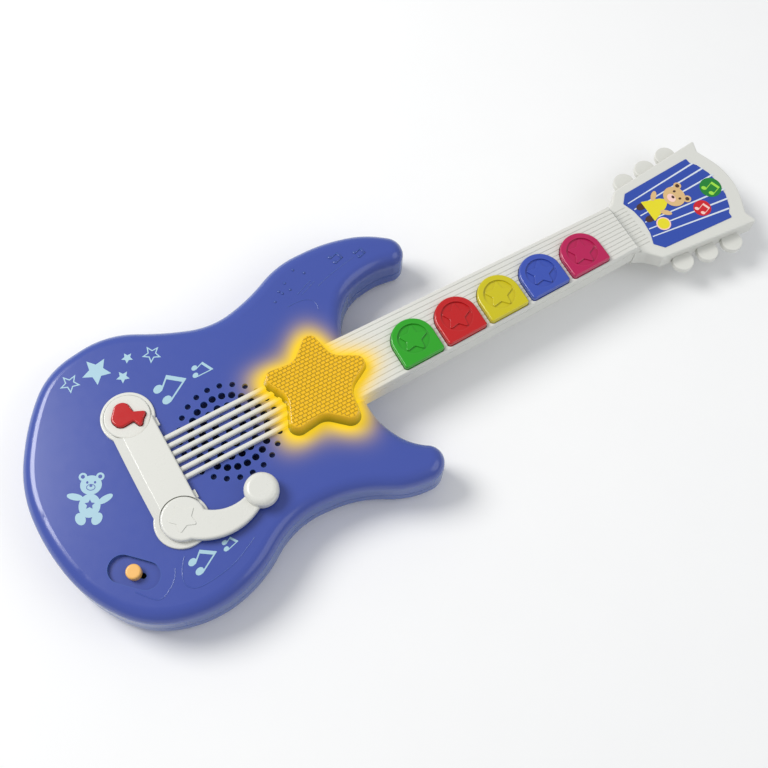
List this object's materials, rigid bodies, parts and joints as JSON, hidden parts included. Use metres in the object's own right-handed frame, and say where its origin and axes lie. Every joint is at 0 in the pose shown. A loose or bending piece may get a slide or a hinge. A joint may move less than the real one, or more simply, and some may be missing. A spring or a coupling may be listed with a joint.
{
  "type": "toy electric guitar",
  "caption": "Toddler's electronic toy guitar: blue two-horned body, white neck with coloured press keys, light-up star lens, raised strings, whammy arm and sliding power switch.",
  "frame": {"origin": "on the flat back of the body, straight behind the middle of the loudspeaker grille", "axes": "+X along the neck to the headstock, +Y to the side of the longer horn, +Z out of the playing face; lying on its back"},
  "size_m": [0.4681, 0.1732, 0.0422],
  "materials": {
    "blue_plastic": "glossy injection moulding",
    "white_plastic": "semi-gloss injection moulding",
    "key_green": "glossy",
    "key_red": "glossy",
    "key_yellow": "glossy",
    "key_blue": "glossy",
    "key_magenta": "glossy",
    "lens_amber": "translucent, textured",
    "bow_red": "glossy",
    "switch_orange": "satin",
    "label_print": "printed film",
    "circuit_green": "solder-resist",
    "black_plastic": "matte",
    "pad_rubber": "matte",
    "steel": "zinc plated",
    "speaker_paper": "paper",
    "lamp_plastic": "clear epoxy",
    "cell_jacket": "satin",
    "wire_red": "insulation"
  },
  "bodies": {
    "guitar": {"body_front_shell": "blue_plastic", "body_back_shell": "blue_plastic", "neck_front_shell": "white_plastic", "neck_back_shell": "white_plastic", "tuning_pegs_upper": "white_plastic", "tuning_pegs_lower": "white_plastic", "headstock_label": "label_print", "string_bars": "white_plastic", "bridge_cover": "white_plastic", "bow_button_board": "circuit_green", "bow_button_switch": "black_plastic", "whammy_spring": "steel", "power_switch_body": "black_plastic", "star_lens": "lens_amber", "star_light_board": "circuit_green", "star_lamps": "lamp_plastic", "key_rubber_pad": "pad_rubber", "key_circuit_board": "circuit_green", "speaker_frame": "steel", "speaker_cone": "speaker_paper", "speaker_magnet": "black_plastic", "speaker_clamp_ring": "black_plastic", "main_circuit_board": "circuit_green", "sound_chip": "black_plastic", "board_parts": "black_plastic", "battery_cell_1": "cell_jacket", "battery_cell_2": "cell_jacket", "battery_cell_3": "cell_jacket", "battery_spring_contacts": "steel", "battery_button_contacts": "steel", "body_screws": "steel", "neck_screws": "steel", "headstock_screws": "steel", "board_screws": "steel", "speaker_wires": "wire_red", "battery_wires": "wire_red"},
    "key_1": {"fret_key_1": "key_green"},
    "key_2": {"fret_key_2": "key_red"},
    "key_3": {"fret_key_3": "key_yellow"},
    "key_4": {"fret_key_4": "key_blue"},
    "key_5": {"fret_key_5": "key_magenta"},
    "bow": {"bow_button": "bow_red"},
    "whammy": {"whammy_arm": "white_plastic", "whammy_washer": "steel", "whammy_screw": "steel"},
    "power_knob": {"power_switch_knob": "switch_orange"},
    "door": {"battery_door": "blue_plastic", "battery_door_screw": "steel"}
  },
  "joints": [
    {"name": "key_1_press", "type": "slide", "parent": "guitar", "child": "key_1", "axis": [0, 0, -1], "range_m": [0, 0.002], "stiffness_N_per_m": 400, "springref_m": -0.0005},
    {"name": "key_2_press", "type": "slide", "parent": "guitar", "child": "key_2", "axis": [0, 0, -1], "range_m": [0, 0.002], "stiffness_N_per_m": 400, "springref_m": -0.0005},
    {"name": "key_3_press", "type": "slide", "parent": "guitar", "child": "key_3", "axis": [0, 0, -1], "range_m": [0, 0.002], "stiffness_N_per_m": 400, "springref_m": -0.0005},
    {"name": "key_4_press", "type": "slide", "parent": "guitar", "child": "key_4", "axis": [0, 0, -1], "range_m": [0, 0.002], "stiffness_N_per_m": 400, "springref_m": -0.0005},
    {"name": "key_5_press", "type": "slide", "parent": "guitar", "child": "key_5", "axis": [0, 0, -1], "range_m": [0, 0.002], "stiffness_N_per_m": 400, "springref_m": -0.0005},
    {"name": "bow_press", "type": "slide", "parent": "guitar", "child": "bow", "axis": [0, 0, -1], "range_m": [0, 0.0015], "stiffness_N_per_m": 500, "springref_m": -0.0004},
    {"name": "whammy_swing", "type": "hinge", "parent": "guitar", "child": "whammy", "pos_m": [-0.0449, -0.0344, 0.035], "axis": [0, 0, 1], "range_deg": [-15, 15], "stiffness_Nm_per_rad": 0.03},
    {"name": "power_slide", "type": "slide", "parent": "guitar", "child": "power_knob", "axis": [0.7071, -0.7071, 0], "range_m": [0, 0.005]},
    {"name": "door_open", "type": "hinge", "parent": "guitar", "child": "door", "pos_m": [-0.0383, 0, 0.0003], "axis": [0, -1, 0], "range_deg": [0, 25]}
  ]
}
